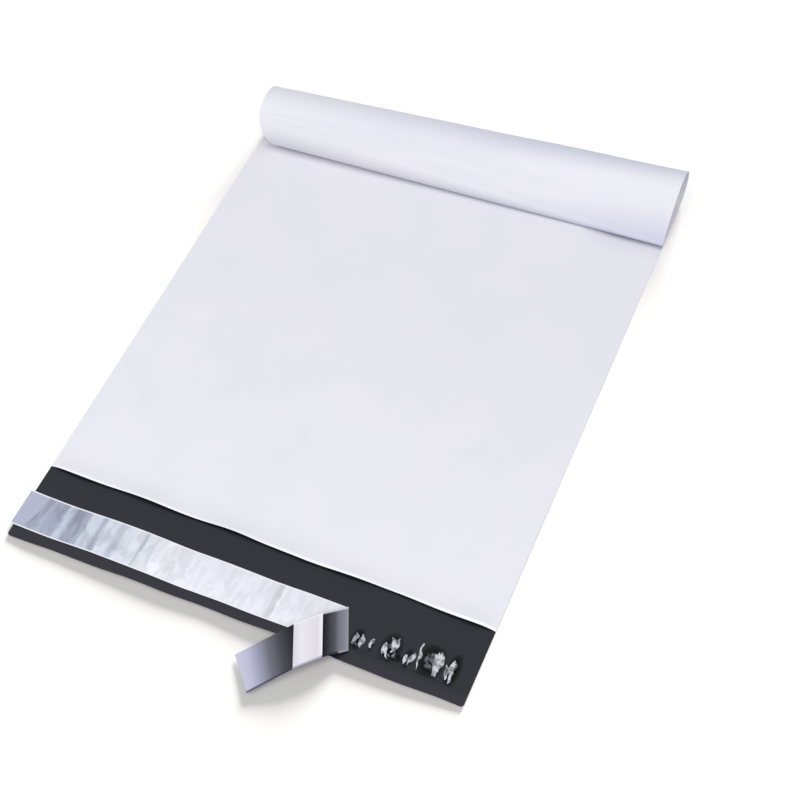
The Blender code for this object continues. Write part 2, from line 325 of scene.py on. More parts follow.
def white_polythene():
    """Co-extruded polythene, titanium white side: satin, faintly lavender, a little cloudy.

    Blown film has soft clouds about 40 mm across, and fine draw lines 4 mm apart along its length.
    It is a little paler towards the mouth, and the slit edge there has a painted highlight. On the
    roll it has painted shade, more towards the right: greyer over the back and low on the front.
    Along the roll's foot, at its right end, the face has painted shade.
    """
    material, add = new_material("white_blown_polythene")
    place = add("ShaderNodeTexCoord").outputs["Object"]
    clouds = add(
        "ShaderNodeTexNoise", {"Vector": place, "Scale": 24.0, "Detail": 3.0, "Roughness": 0.55}
    )
    tone = add(
        "ShaderNodeValToRGB",
        {"Fac": clouds},
        stops={0.30: "#DEDEE5", 0.52: "#E1E0E7", 0.75: "#E3E1E7"},
    )
    laid = add("ShaderNodeUVMap", uv_map="film")
    across, along, _ = add("ShaderNodeSeparateXYZ", {"Vector": laid}).outputs
    mouth = FLAP_LENGTH / BAG_LENGTH
    paler = add(
        "ShaderNodeMapRange",
        {"Value": along, "From Min": mouth, "From Max": 0.66, "To Min": 1.095, "To Max": 1.005},
    )
    graded = add("ShaderNodeVectorMath", {0: tone, "Scale": paler}, operation="SCALE")
    # Painted highlight: a near-white line along the mouth's slit edge.
    rim = add(
        "ShaderNodeMapRange",
        {"Value": along, "From Min": mouth + 0.0028, "From Max": mouth + 0.0018},
    )
    edged = add("ShaderNodeMix", {0: rim, 6: graded, 7: linear("#F8F8FC")}, data_type="RGBA")
    # Painted shade on the roll: greyer over its back and low on its front, more towards the right.
    roll_painted_shade = add(
        "ShaderNodeValToRGB",
        {"Fac": along},
        stops={
            0.800: "#FFFFFF", 0.850: "#E6EAF6", 0.868: "#E8ECF6", 0.900: "#FFFFFF",
            0.935: "#FFFFFF", 0.960: "#F2F4FB", 0.985: "#E6E8F7",
        },
    )
    rolled_tone = add(
        "ShaderNodeMix", {0: across, 6: edged, 7: roll_painted_shade}, data_type="RGBA", blend_type="MULTIPLY"
    )
    # Painted shade on the face along the roll's foot, at its right end.
    foot_middle = 0.1464
    foot_slant = 0.0594
    shade_before_foot = 0.0300
    shade_past_foot = 0.0033
    x, y, z = add("ShaderNodeSeparateXYZ", {"Vector": place}).outputs
    foot = add("ShaderNodeMath", {0: x, 1: foot_slant, 2: foot_middle}, operation="MULTIPLY_ADD")
    past_foot = add("ShaderNodeMath", {0: y, 1: foot}, operation="SUBTRACT")
    near_foot = add(
        "ShaderNodeMapRange",
        {"Value": past_foot, "From Min": -shade_before_foot, "From Max": shade_past_foot},
    )
    foot_shade = add(
        "ShaderNodeValToRGB",
        {"Fac": near_foot},
        stops={
            0.450: "#FFFFFF", 0.790: "#F5F6F9", 0.835: "#DADBE0", 0.868: "#B6B7BD",
            0.884: "#B6B7BD", 0.901: "#DADBE0", 0.976: "#FFFFFF",
        },
    )
    at_right = add("ShaderNodeMapRange", {"Value": x, "From Min": 0.076, "From Max": 0.096})
    on_face = add("ShaderNodeMapRange", {"Value": z, "From Min": 0.0020, "From Max": 0.0008})
    shade_share = add("ShaderNodeMath", {0: at_right, 1: on_face}, operation="MULTIPLY")
    shaded = add(
        "ShaderNodeMix",
        {0: shade_share, 6: rolled_tone, 7: foot_shade},
        data_type="RGBA",
        blend_type="MULTIPLY",
    )
    stretched = add("ShaderNodeMapping", {"Vector": place, "Scale": (260.0, 12.0, 12.0)})
    draw_lines = add("ShaderNodeTexNoise", {"Vector": stretched, "Scale": 1.0})
    lines = add("ShaderNodeBump", {"Height": draw_lines, "Strength": 0.04, "Distance": 0.0004})
    cockle = add(
        "ShaderNodeBump", {"Height": clouds, "Strength": 0.15, "Distance": 0.002, "Normal": lines}
    )
    shader = add(
        "ShaderNodeBsdfPrincipled",
        {
            "Base Color": shaded,
            "Normal": cockle,
            "Roughness": 0.55,
            "Specular IOR Level": 0.30,
            "IOR": 1.51,
        },
    )
    add("ShaderNodeOutputMaterial", {"Surface": shader})
    return material


def black_polythene():
    """Co-extruded polythene, carbon black side: near black with a violet cast and a satin sheen.

    Its clouds are about 30 mm across. Over the first 4 to 8 mm of the flap its black is a little
    greyer.
    """
    material, add = new_material("black_blown_polythene")
    place = add("ShaderNodeTexCoord").outputs["Object"]
    clouds = add("ShaderNodeTexNoise", {"Vector": place, "Scale": 34.0, "Detail": 4.0})
    tone = add("ShaderNodeValToRGB", {"Fac": clouds}, stops={0.3: "#0A0B16", 0.7: "#10101A"})
    laid = add("ShaderNodeUVMap", uv_map="film")
    _, along, _ = add("ShaderNodeSeparateXYZ", {"Vector": laid}).outputs
    lip = add("ShaderNodeMapRange", {"Value": along, "From Min": 0.018, "From Max": 0.009})
    greyer_lip = add("ShaderNodeMix", {0: lip, 6: tone, 7: linear("#1C1A24")}, data_type="RGBA")
    haze = add("ShaderNodeMapRange", {"Value": clouds, "To Min": 0.34, "To Max": 0.46})
    cockle = add("ShaderNodeBump", {"Height": clouds, "Strength": 0.2, "Distance": 0.002})
    shader = add(
        "ShaderNodeBsdfPrincipled",
        {"Base Color": greyer_lip, "Roughness": haze, "Normal": cockle, "IOR": 1.42},
    )
    add("ShaderNodeOutputMaterial", {"Surface": shader})
    return material


def new_geometry_tree(name, sizes):
    """A modifier's node tree with named number inputs, add_node for it, and their identifiers."""
    tree = bpy.data.node_groups.new(name, "GeometryNodeTree")
    tree.interface.new_socket("Geometry", in_out="INPUT", socket_type="NodeSocketGeometry")
    tree.interface.new_socket("Geometry", in_out="OUTPUT", socket_type="NodeSocketGeometry")
    found = {}
    for label in sizes:
        socket = tree.interface.new_socket(label, in_out="INPUT", socket_type="NodeSocketFloat")
        found[label] = socket.identifier
    return tree, functools.partial(add_node, tree), found


def film_roller(sizes, white, black):
    """Bends the flat film: X across, Y along from the flap's edge, Z its height in the wall.

    Each piece of the rolled end adds its own step ahead and up, over the length that a point has
    gone along it, and turns the film's heading.
    """
    tree, add, found = new_geometry_tree("roll_up_the_film", sizes)
    given = add("NodeGroupInput")
    steps = (
        ("across", "DIVIDE", "X", "Bag Width"),
        ("share", "ADD", "across", 0.5),
        ("bend change", "SUBTRACT", "Bend Radius Right", "Bend Radius Left"),
        ("bend", "MULTIPLY_ADD", "bend change", "share", "Bend Radius Left"),
        ("tuck change", "SUBTRACT", "Tuck Radius Right", "Tuck Radius Left"),
        ("tuck", "MULTIPLY_ADD", "tuck change", "share", "Tuck Radius Left"),
        ("tail", "ADD", "tuck", "Tail Looser"),
        ("slope ahead", "COSINE", "Bend Turn"),
        ("slope up", "SINE", "Bend Turn"),
        ("tighter", "SUBTRACT", "bend", "tuck"),
        ("tighter ahead", "MULTIPLY", "tighter", "slope ahead"),
        ("drop", "SUBTRACT", "tighter", "Tuck Clearance"),
        ("run down", "SUBTRACT", "tighter ahead", "drop"),
        ("run length", "DIVIDE", "run down", "slope up"),
        ("bend length", "MULTIPLY", "bend", "Bend Turn"),
        ("tuck length", "MULTIPLY", "tuck", "Tuck Turn"),
        ("tail length", "MULTIPLY", "tail", "Tail Turn"),
        ("to tuck", "ADD", "bend length", "run length"),
        ("to tail", "ADD", "to tuck", "tuck length"),
        ("rolled length", "ADD", "to tail", "tail length"),
        ("flat end", "SUBTRACT", "Bag Length", "rolled length"),
        ("past flat", "SUBTRACT", "Y", "flat end"),
        ("rolled", "MAXIMUM", "past flat", 0.0),
        ("on bend", "MINIMUM", "rolled", "bend length"),
        ("past bend", "SUBTRACT", "rolled", "bend length"),
        ("off bend", "MAXIMUM", "past bend", 0.0),
        ("on run", "MINIMUM", "off bend", "run length"),
        ("past run", "SUBTRACT", "rolled", "to tuck"),
        ("off run", "MAXIMUM", "past run", 0.0),
        ("on tuck", "MINIMUM", "off run", "tuck length"),
        ("past tuck", "SUBTRACT", "rolled", "to tail"),
        ("on tail", "MAXIMUM", "past tuck", 0.0),
        ("bend angle", "DIVIDE", "on bend", "bend"),
        ("tuck angle", "DIVIDE", "on tuck", "tuck"),
        ("tail angle", "DIVIDE", "on tail", "tail"),
        ("tuck heading", "ADD", "tuck angle", "Bend Turn"),
        ("heading so far", "ADD", "bend angle", "tuck angle"),
        ("heading", "ADD", "heading so far", "tail angle"),
        ("bend sine", "SINE", "bend angle"),
        ("bend cosine", "COSINE", "bend angle"),
        ("bend rise", "SUBTRACT", 1.0, "bend cosine"),
        ("tuck sine", "SINE", "tuck heading"),
        ("tuck cosine", "COSINE", "tuck heading"),
        ("tuck gain", "SUBTRACT", "tuck sine", "slope up"),
        ("tuck rise", "SUBTRACT", "slope ahead", "tuck cosine"),
        ("tail sine", "SINE", "tail angle"),
        ("tail cosine", "COSINE", "tail angle"),
        ("tail rise", "SUBTRACT", 1.0, "tail cosine"),
        ("flat", "MINIMUM", "Y", "flat end"),
        ("ahead at bend", "ADD", "flat", "Flap Edge"),
        ("ahead at run", "MULTIPLY_ADD", "bend", "bend sine", "ahead at bend"),
        ("ahead at tuck", "MULTIPLY_ADD", "on run", "slope ahead", "ahead at run"),
        ("ahead at tail", "MULTIPLY_ADD", "tuck", "tuck gain", "ahead at tuck"),
        ("ahead", "MULTIPLY_ADD", "tail", "tail sine", "ahead at tail"),
        ("up at run", "MULTIPLY", "bend", "bend rise"),
        ("up at tuck", "MULTIPLY_ADD", "on run", "slope up", "up at run"),
        ("up at tail", "MULTIPLY_ADD", "tuck", "tuck rise", "up at tuck"),
        ("up", "MULTIPLY_ADD", "tail", "tail rise", "up at tail"),
        ("heading sine", "SINE", "heading"),
        ("heading cosine", "COSINE", "heading"),
        ("lean", "MULTIPLY", "Z", "heading sine"),
        ("bent Y", "SUBTRACT", "ahead", "lean"),
        ("bent Z", "MULTIPLY_ADD", "Z", "heading cosine", "up"),
    )
    place = add("GeometryNodeInputPosition")
    point = add("ShaderNodeSeparateXYZ", {"Vector": place})
    known = {axis: point.outputs[axis] for axis in ("X", "Y", "Z")}
    known.update({label: given.outputs[label] for label in sizes})
    for name, operation, *terms in steps:
        sockets = {index: known.get(term, term) for index, term in enumerate(terms)}
        known[name] = add("ShaderNodeMath", sockets, label=name, operation=operation)
    bent_place = add(
        "ShaderNodeCombineXYZ", {"X": known["X"], "Y": known["bent Y"], "Z": known["bent Z"]}
    )
    bent = add("GeometryNodeSetPosition", {"Geometry": given, "Position": bent_place})
    whole = add("GeometryNodeRealizeInstances", {"Geometry": bent})
    outside = add("GeometryNodeSetMaterial", {"Geometry": whole, "Material": white})
    marked = add("GeometryNodeInputNamedAttribute", {"Name": "black_side"}, data_type="BOOLEAN")
    inside = add(
        "GeometryNodeSetMaterial", {"Geometry": outside, "Selection": marked, "Material": black}
    )
    add("NodeGroupOutput", {"Geometry": inside})
    return tree, found


def add_piece(name, work, materials=()):
    """An object at the origin in the scene, made from a bmesh, with its materials in order."""
    mesh = bpy.data.meshes.new(name)
    work.to_mesh(mesh)
    work.free()
    for material in materials:
        mesh.materials.append(material)
    piece = bpy.data.objects.new(name, mesh)
    bpy.context.scene.collection.objects.link(piece)
    return piece


def add_tree(piece, tree, found, sizes):
    """Puts a geometry tree on a piece, with its inputs set by identifier."""
    modifier = piece.modifiers.new(tree.name, "NODES")
    modifier.node_group = tree
    for label, value in sizes.items():
        modifier[found[label]] = value


def bake_modifiers(piece):
    """Turns a piece's evaluated form into its plain mesh and takes its modifiers off."""
    graph = bpy.context.evaluated_depsgraph_get()
    graph.update()
    baked = bpy.data.meshes.new_from_object(piece.evaluated_get(graph), depsgraph=graph)
    piece.modifiers.clear()
    piece.data = baked
    baked.set_sharp_from_angle(angle=SHARP_FROM)


film_sizes = {
    "Bag Width": BAG_WIDTH, "Bag Length": BAG_LENGTH, "Flap Edge": FLAP_EDGE_Y,
    "Bend Radius Left": BEND_RADIUS_LEFT, "Bend Radius Right": BEND_RADIUS_RIGHT,
    "Bend Turn": BEND_TURN, "Tuck Radius Left": TUCK_RADIUS_LEFT,
    "Tuck Radius Right": TUCK_RADIUS_RIGHT, "Tuck Turn": TUCK_TURN,
    "Tuck Clearance": TUCK_CLEARANCE, "Tail Looser": TAIL_LOOSER, "Tail Turn": TAIL_TURN,
}
bag = add_piece("mailer_bag", film_mesh())
film_tree, film_inputs = film_roller(film_sizes, white_polythene(), black_polythene())
add_tree(bag, film_tree, film_inputs, film_sizes)
bake_modifiers(bag)
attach(bag, "root")
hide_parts("mailer_film")

# Adhesive strip
# A band of hot-melt glue coated on the flap's black side. Under the liner it is level. Where the
# liner was pulled off, it has come up in shiny lumps and cloudy strings, most of them lengthwise.
GLUE_WIDTH = 0.018
GLUE_WALL = 0.0001
GLUE_BASE = 0.00012
GLUE_END_MARGIN = 0.003
LINER_LAP = 0.0021
LINER_EDGE_MARGIN = 0.0061
GLUE_FRONT_Y = FLAP_EDGE_Y + LINER_EDGE_MARGIN + LINER_LAP
PEEL_FROM_RIGHT = 0.0633
PEEL_SKEW = math.radians(23.4)
PEEL_X = BAG_WIDTH / 2 - PEEL_FROM_RIGHT
GLUE_COLUMNS = 330
GLUE_ROWS = 40
COVERED_COLUMNS = 60
BARE_FROM_X = 0.048
GLUE_PLUCK = 0.0003  # the height of the lumps on the bare glue
LUMP_WIDTH = 0.0028
LUMP_LENGTH = 0.0050
STRING_RADIUS = 0.00150
STRING_FLATNESS = 0.45
STRING_POINTS = 16
STRING_SIDES = 8
STRING_SEED = 11
STRINGS_PER_AREA = 1.1e5  # for a square metre of a patch's half width times its half depth
STRING_REACH = (0.45, 0.90)  # the least and most of half a patch's depth
PATCH_SPREAD_X = 1.8
PATCH_SPREAD_Y = 1.4

# Where the glue has come up: the middle of each patch, and half its width and depth
PULLED_PATCHES = (
    (0.0642, -0.1462, 0.0022, 0.0052),
    (0.0718, -0.1462, 0.0006, 0.0036),
    (0.0812, -0.1440, 0.0034, 0.0070),
    (0.0834, -0.1480, 0.0040, 0.0022),
    (0.0908, -0.1462, 0.0014, 0.0046),
    (0.1018, -0.1432, 0.0044, 0.0082),
    (0.1135, -0.1438, 0.0022, 0.0080),
)


def pulled(x, y):
    """From 0 on level glue to 1 in the middle of a pulled patch."""
    most = 0.0
    for middle_x, middle_y, half_width, half_depth in PULLED_PATCHES:
        across = (x - middle_x) / (half_width * PATCH_SPREAD_X)
        along = (y - middle_y) / (half_depth * PATCH_SPREAD_Y)
        most = max(most, 1 - math.hypot(across, along) ** 2)
    return most


def glue_mesh():
    """The band as a grid, finer where it is bare, with how far it was pulled as an attribute."""
    work = bmesh.new()
    bmesh.ops.create_grid(work, x_segments=GLUE_COLUMNS, y_segments=GLUE_ROWS, size=0.5)
    right = BAG_WIDTH / 2 - GLUE_END_MARGIN
    strength = work.verts.layers.float.new("pulled")
    for vert in work.verts:
        column = round((vert.co.x + 0.5) * GLUE_COLUMNS)
        if column < COVERED_COLUMNS:
            x = -right + (BARE_FROM_X + right) * column / COVERED_COLUMNS
        else:
            bare = (column - COVERED_COLUMNS) / (GLUE_COLUMNS - COVERED_COLUMNS)
            x = BARE_FROM_X + (right - BARE_FROM_X) * bare
        y = GLUE_FRONT_Y + (vert.co.y + 0.5) * GLUE_WIDTH
        vert[strength] = pulled(x, y)
        crease = max(1 - 3 * abs(ripple(x / LUMP_WIDTH, y / LUMP_LENGTH, 4.4)), 0.0)
        pluck = GLUE_PLUCK * crease * vert[strength]
        vert.co = (x, y, GLUE_BASE + GLUE_WALL + flap_height(x, y) + pluck)
    for face in work.faces:
        face.smooth = True
    return work


def string_guides():
    """A straight edge for each string of glue, within the pulled patches."""
    chance = random.Random(STRING_SEED)
    work = bmesh.new()
    for middle_x, middle_y, half_width, half_depth in PULLED_PATCHES:
        for _ in range(1 + round(half_width * half_depth * STRINGS_PER_AREA)):
            reach = chance.uniform(*STRING_REACH) * half_depth
            start_y = middle_y + chance.uniform(-1.0, 1.0) * (half_depth - reach) - reach
            start_x = middle_x + chance.uniform(-1.0, 1.0) * half_width
            end_x = start_x + chance.uniform(-1.0, 1.0) * half_width
            ends = []
            for x, y in ((start_x, start_y), (end_x, start_y + 2 * reach)):
                z = GLUE_BASE + GLUE_WALL + flap_height(x, y)
                ends.append(work.verts.new((x, y, z)))
            work.edges.new(ends)
    return work


def hot_melt():
    """Pressure-sensitive hot-melt glue: clear and wet, so the black film shows through it.

    Where it was pulled it is crazed, with small sharp glints, and painted blacker as a painted dark
    reflection. Its grey smears about 3 mm across are partly cloudy glue and partly painted sheen.
    """
    material, add = new_material("clear_hot_melt_over_black")
    place = add("ShaderNodeTexCoord").outputs["Object"]
    pulled_here = add("ShaderNodeAttribute", attribute_name="pulled").outputs["Fac"]
    # Painted dark reflection: where the glue was pulled it is painted blacker.
    tone = add("ShaderNodeValToRGB", {"Fac": pulled_here}, stops={0.0: "#11111B", 0.4: "#040407"})
    grain = add("ShaderNodeTexNoise", {"Vector": place, "Scale": 300.0, "Detail": 3.0})
    smear = add("ShaderNodeMath", {0: grain, 1: pulled_here}, operation="MULTIPLY")
    cloudy = add(
        "ShaderNodeMapRange", {"Value": smear, "From Min": 0.41, "From Max": 0.54, "To Max": 0.90}
    )
    # Grey smears: partly cloudy glue and partly painted sheen.
    smears_and_sheen = add("ShaderNodeMix", {0: cloudy, 6: tone, 7: linear("#70717A")}, data_type="RGBA")
    crazing = add("ShaderNodeBump", {"Height": smear, "Strength": 0.4, "Distance": 0.0006})
    shine = add("ShaderNodeMapRange", {"Value": pulled_here, "To Min": 0.42, "To Max": 0.04})
    shader = add(
        "ShaderNodeBsdfPrincipled",
        {
            "Base Color": smears_and_sheen,
            "Roughness": 0.18,
            "Specular IOR Level": shine,
            "IOR": 1.48,
            "Normal": crazing,
        },
    )
    add("ShaderNodeOutputMaterial", {"Surface": shader})
    return material


def strung_glue():
    """Hot-melt glue pulled out into strings, cloudy grey to white: partly its own bubbly colour
    and partly painted glints.

    The bubbles are too fine to show, so they are made as patches about 2 mm across.
    """
    material, add = new_material("cloudy_strung_hot_melt")
    place = add("ShaderNodeTexCoord").outputs["Object"]
    bubbles = add("ShaderNodeTexNoise", {"Vector": place, "Scale": 420.0, "Detail": 2.0})
    # Cloudy grey to white: partly the glue's own colour and partly painted glints.
    tone = add(
        "ShaderNodeValToRGB",
        {"Fac": bubbles},
        stops={0.30: "#4C4D54", 0.45: "#9C9DA3", 0.60: "#D4D4D9"},
    )
    shader = add("ShaderNodeBsdfPrincipled", {"Base Color": tone, "Roughness": 0.25, "IOR": 1.48})
    add("ShaderNodeOutputMaterial", {"Surface": shader})
    return material


def string_drawer(sizes, material):
    """Turns each guide into a wandering string of glue, thin at its ends and pressed flat."""
    tree, add, found = new_geometry_tree("draw_the_glue_strings", sizes)
    given = add("NodeGroupInput")
    lines = add("GeometryNodeMeshToCurve", {"Mesh": given})
    points = add("GeometryNodeResampleCurve", {"Curve": lines, "Count": STRING_POINTS})
    place = add("GeometryNodeInputPosition")
    wander = add(
        "ShaderNodeTexNoise",
        {
            "Vector": place,
            "W": given.outputs["Seed"],
            "Scale": given.outputs["Wander Scale"],
            "Detail": 1.0,
        },
        noise_dimensions="4D",
    )
    centred = add(
        "ShaderNodeVectorMath",
        {0: wander.outputs["Color"], 1: (0.5, 0.5, 0.5)},
        operation="SUBTRACT",
    )
    sideways = add("ShaderNodeVectorMath", {0: centred, 1: (1.0, 0.6, 0.0)}, operation="MULTIPLY")
    moved_by = add(
        "ShaderNodeVectorMath", {0: sideways, "Scale": given.outputs["Wander"]}, operation="SCALE"
    )
    strings = add("GeometryNodeSetPosition", {"Geometry": points, "Offset": moved_by})
    along = add("GeometryNodeSplineParameter")
    half_turn = add("ShaderNodeMath", {0: along, 1: math.pi}, operation="MULTIPLY")
    swell = add("ShaderNodeMath", {0: half_turn}, operation="SINE")
    thick = add("ShaderNodeMapRange", {"Value": swell, "To Min": 0.25})
    lumps = add(
        "ShaderNodeMapRange", {"Value": wander, "From Min": 0.38, "From Max": 0.62, "To Min": 0.4}
    )
    uneven = add("ShaderNodeMath", {0: thick, 1: lumps}, operation="MULTIPLY")
    ring = add(
        "GeometryNodeCurvePrimitiveCircle",
        {"Resolution": STRING_SIDES, "Radius": given.outputs["Radius"]},
    )
    pressed = add("GeometryNodeTransform", {"Geometry": ring, "Scale": (1.0, STRING_FLATNESS, 1.0)})
    tubes = add(
        "GeometryNodeCurveToMesh",
        {"Curve": strings, "Profile Curve": pressed, "Scale": uneven, "Fill Caps": True},
    )
    whole = add("GeometryNodeRealizeInstances", {"Geometry": tubes})
    smooth = add("GeometryNodeSetShadeSmooth", {"Geometry": whole})
    coated = add("GeometryNodeSetMaterial", {"Geometry": smooth, "Material": material})
    add("NodeGroupOutput", {"Geometry": coated})
    return tree, found


glue = add_piece("adhesive_band", glue_mesh(), [hot_melt()])
glue_wall = glue.modifiers.new("glue_wall", "SOLIDIFY")
glue_wall.thickness = GLUE_WALL
glue_wall.offset = -1.0
bake_modifiers(glue)
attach(glue, "root")
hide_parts("adhesive_strip")

string_sizes = {"Radius": STRING_RADIUS, "Wander": 0.0042, "Wander Scale": 190.0, "Seed": 2.0}
strings = add_piece("adhesive_strings", string_guides())
string_tree, string_inputs = string_drawer(string_sizes, strung_glue())
add_tree(strings, string_tree, string_inputs, string_sizes)
bake_modifiers(strings)
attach(strings, "root")

# Release liner
# A strip of silicone-coated film, glossy and translucent, that covers the glue. Its right part has
# been pulled off and folded back over itself, with two creases, so its end hangs over the flap.
LINER_WIDTH = GLUE_WIDTH + 2 * LINER_LAP
LINER_WALL = 0.0001
LINER_BASE = GLUE_BASE + GLUE_WALL + 0.0001
LINER_OVERHANG = 0.0015
PEEL_RADIUS = 0.001
PEEL_TURN = math.radians(158)
RISE_LENGTH = 0.0129
CREASE_RADIUS = 0.0006
CREST_TURN = math.radians(23)
CREST_LENGTH = 0.0138
DIP_TURN = math.radians(12.5)
DROP_LENGTH = 0.0225
END_SKEW = math.radians(16)
LINER_START_X = -BAG_WIDTH / 2 - LINER_OVERHANG
LINER_WANDER = 0.0009
LINER_WAVE_SIZE = 0.034
LINER_HELD_ROWS = 20  # the last rows before the peel line, where the wander fades out
FREE_END_LENGTH = 0.009
FREE_END_RISE = 0.0004
BLISTER_HEIGHT = 0.00015
BLISTER_LENGTH = 0.009
BLISTER_WIDTH = 0.011

PEEL, RISE, CREST, LEVEL, DIP, DROP = range(6)
LINER_STEPS = {PEEL: 12, RISE: 10, CREST: 4, LEVEL: 10, DIP: 4, DROP: 16}
LYING_STEPS = 130
ACROSS_STEPS = 16


def liner_mesh():
    """The liner's underside, as a grid whose rows are parallel to the creases where it is peeled.

    The UV's U is the length along it in bag widths: from 0 on the lying part and from 1 at the peel
    line, and V is the share across. The lying faces take the first material, the peeled the second.
    """
    turns = {
        PEEL: (PEEL_RADIUS * PEEL_TURN, PEEL_TURN),
        RISE: (RISE_LENGTH, 0.0),
        CREST: (CREASE_RADIUS * CREST_TURN, CREST_TURN),
        LEVEL: (CREST_LENGTH, 0.0),
        DIP: (CREASE_RADIUS * DIP_TURN, DIP_TURN),
    }
    rows = [(PEEL, 0.0)]
    for piece, steps in LINER_STEPS.items():
        rows += [(piece, step / steps) for step in range(1, steps + 1)]
    last_row = LYING_STEPS + len(rows) - 1
    crease = Vector((-math.sin(PEEL_SKEW), math.cos(PEEL_SKEW)))
    onward = Vector((math.cos(PEEL_SKEW), math.sin(PEEL_SKEW)))
    front_y = FLAP_EDGE_Y + LINER_EDGE_MARGIN
    start = Vector((PEEL_X, front_y))
    peel_height = flap_height(PEEL_X, front_y + LINER_WIDTH / 2)

    work = bmesh.new()
    bmesh.ops.create_grid(work, x_segments=last_row, y_segments=ACROSS_STEPS, size=0.5)
    layout = work.loops.layers.uv.new("liner")
    spots = {}
    lengths_gone = {}
    for vert in work.verts:
        row = round((vert.co.x + 0.5) * last_row)
        share = vert.co.y + 0.5
        spots[vert] = (row, share)
        lengths_gone[vert] = 0.0
        along_crease = share * LINER_WIDTH / math.cos(PEEL_SKEW)
        if row <= LYING_STEPS:
            peel_here = PEEL_X - along_crease * math.sin(PEEL_SKEW)
            x = LINER_START_X + (peel_here - LINER_START_X) * row / LYING_STEPS
            free = min((LYING_STEPS - row) / LINER_HELD_ROWS, 1.0)
            wander = LINER_WANDER * ripple(x / LINER_WAVE_SIZE, 0.6 * share, 6.6) * free
            y = front_y + share * LINER_WIDTH + wander
            at_end = max(1 - (x - LINER_START_X) / FREE_END_LENGTH, 0.0)
            blister = max(ripple(x / BLISTER_LENGTH, y / BLISTER_WIDTH, 6.1), 0.0)
            risen = FREE_END_RISE * at_end**2 + BLISTER_HEIGHT * blister
            vert.co = (x, y, LINER_BASE + flap_height(x, y) + risen)
            continue
        piece, part = rows[row - LYING_STEPS]
        path = [*turns.values(), (DROP_LENGTH + along_crease * math.tan(END_SKEW), 0.0)]
        ahead = 0.0
        up = 0.0
        heading = 0.0
        for index, (length, turn) in enumerate(path[: piece + 1]):
            done = part if index == piece else 1.0
            lengths_gone[vert] += length * done
            if turn:
                radius = length / turn
                ahead += radius * (math.sin(heading + turn * done) - math.sin(heading))
                up -= radius * (math.cos(heading + turn * done) - math.cos(heading))
            else:
                ahead += length * done * math.cos(heading)
                up += length * done * math.sin(heading)
            heading += turn * done
        back = along_crease - lengths_gone[vert] * math.tan(PEEL_SKEW)
        spot = start + onward * ahead + crease * back
        vert.co = (spot.x, spot.y, LINER_BASE + peel_height + up)
    for face in work.faces:
        face.smooth = True
        peeled = max(spots[vert][0] for vert in face.verts) > LYING_STEPS
        face.material_index = int(peeled)
        for loop in face.loops:
            row, share = spots[loop.vert]
            if peeled:
                along = 1 + lengths_gone[loop.vert] / BAG_WIDTH
            else:
                along = (loop.vert.co.x - LINER_START_X) / BAG_WIDTH
            loop[layout].uv = (along, share)
    return work


